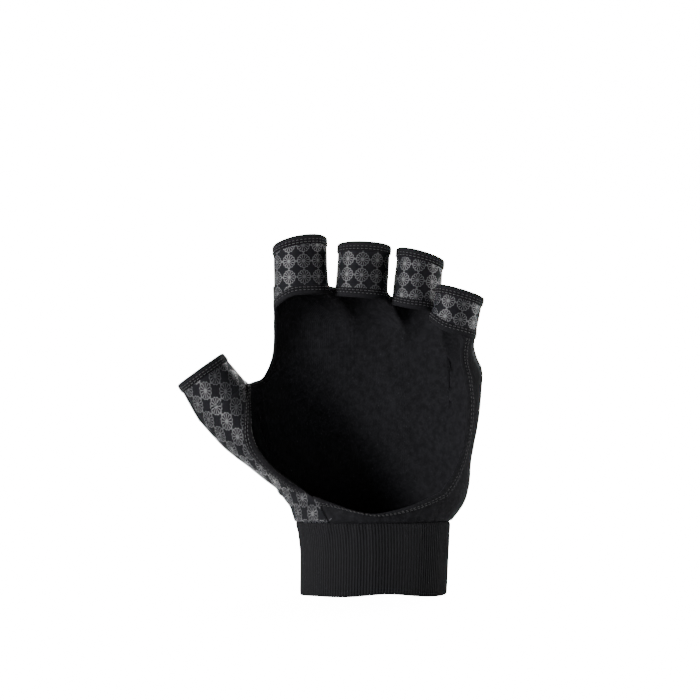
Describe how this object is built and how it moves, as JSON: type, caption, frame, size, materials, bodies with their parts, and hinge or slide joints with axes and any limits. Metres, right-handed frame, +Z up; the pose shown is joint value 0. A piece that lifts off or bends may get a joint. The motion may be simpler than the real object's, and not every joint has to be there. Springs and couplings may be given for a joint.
{
  "type": "open-palm grip glove",
  "caption": "Fingerless open-palm grip glove for the left hand: printed grip sleeves, plain back, elastic wrist cuff; finger, thumb and wrist joints bend.",
  "frame": {"origin": "centre of the bounding box in plan, on the cuff's lower edge", "axes": "+Z up from the cuff to the fingers, -Y out of the palm, +X to the little finger side"},
  "size_m": [0.1278, 0.0426, 0.1515],
  "materials": {
    "plain_knit": "matt black stretch knit",
    "grip_knit": "black stretch knit with a raised satin silicone print",
    "elastic_rib": "matt black ribbed elastic"
  },
  "bodies": {
    "cuff": {"wrist_cuff": "elastic_rib", "cuff_seam_allowance": "plain_knit", "wrist_back_band": "plain_knit", "thumb_panel_tail": "grip_knit", "heel_hem": "plain_knit", "heel_panel": "plain_knit"},
    "hand": {"back_panel": "plain_knit", "ulnar_edge_hem": "plain_knit", "web_edge_hem": "plain_knit", "finger_base_hem": "grip_knit", "little_base_hem": "grip_knit", "crotch_gusset_index_middle": "plain_knit", "crotch_gusset_middle_ring": "plain_knit", "crotch_gusset_ring_little": "plain_knit", "thumb_panel": "grip_knit", "thumb_edge_hem": "grip_knit", "thumb_back_panel": "plain_knit"},
    "index_finger": {"index_bend_band": "grip_knit", "index_grip_front": "grip_knit", "index_back": "plain_knit", "index_top_hem": "grip_knit"},
    "middle_finger": {"middle_bend_band": "grip_knit", "middle_grip_front": "grip_knit", "middle_back": "plain_knit", "middle_top_hem": "grip_knit"},
    "ring_finger": {"ring_bend_band": "grip_knit", "ring_grip_front": "grip_knit", "ring_back": "plain_knit", "ring_top_hem": "grip_knit"},
    "little_finger": {"little_bend_band": "grip_knit", "little_grip_front": "grip_knit", "little_back": "plain_knit", "little_top_hem": "grip_knit"},
    "thumb": {"thumb_bend_band": "grip_knit", "thumb_grip_front": "grip_knit", "thumb_back": "plain_knit", "thumb_top_hem": "grip_knit"}
  },
  "joints": [
    {"name": "wrist_flex", "type": "hinge", "parent": "cuff", "child": "hand", "pos_m": [0.0174, 0.0009, 0.0376], "axis": [1, 0, 0], "range_deg": [-30, 30], "stiffness_Nm_per_rad": 0.12, "deforming": ["wrist_back_band", "thumb_panel_tail", "heel_hem", "heel_panel"]},
    {"name": "index_flex", "type": "hinge", "parent": "hand", "child": "index_finger", "pos_m": [-0.01237, 0.00114, 0.12753], "axis": [0.9993, -0.0105, 0.0353], "range_deg": [-15, 90], "stiffness_Nm_per_rad": 0.003, "deforming": ["index_bend_band"]},
    {"name": "middle_flex", "type": "hinge", "parent": "hand", "child": "middle_finger", "pos_m": [0.01263, 0.00364, 0.12632], "axis": [0.99, -0.1251, -0.0648], "range_deg": [-15, 90], "stiffness_Nm_per_rad": 0.003, "deforming": ["middle_bend_band"]},
    {"name": "ring_flex", "type": "hinge", "parent": "hand", "child": "ring_finger", "pos_m": [0.03567, 0.00474, 0.12152], "axis": [0.972, -0.2208, -0.0807], "range_deg": [-15, 90], "stiffness_Nm_per_rad": 0.003, "deforming": ["ring_bend_band"]},
    {"name": "little_flex", "type": "hinge", "parent": "hand", "child": "little_finger", "pos_m": [0.05062, -0.0098, 0.11152], "axis": [0.9723, -0.1022, -0.2102], "range_deg": [-10, 90], "stiffness_Nm_per_rad": 0.003, "deforming": ["little_bend_band"]},
    {"name": "thumb_flex", "type": "hinge", "parent": "hand", "child": "thumb", "pos_m": [-0.04499, -0.00643, 0.08141], "axis": [0.7797, 0.2838, 0.5582], "range_deg": [-10, 32], "stiffness_Nm_per_rad": 0.003, "deforming": ["thumb_bend_band"]}
  ]
}
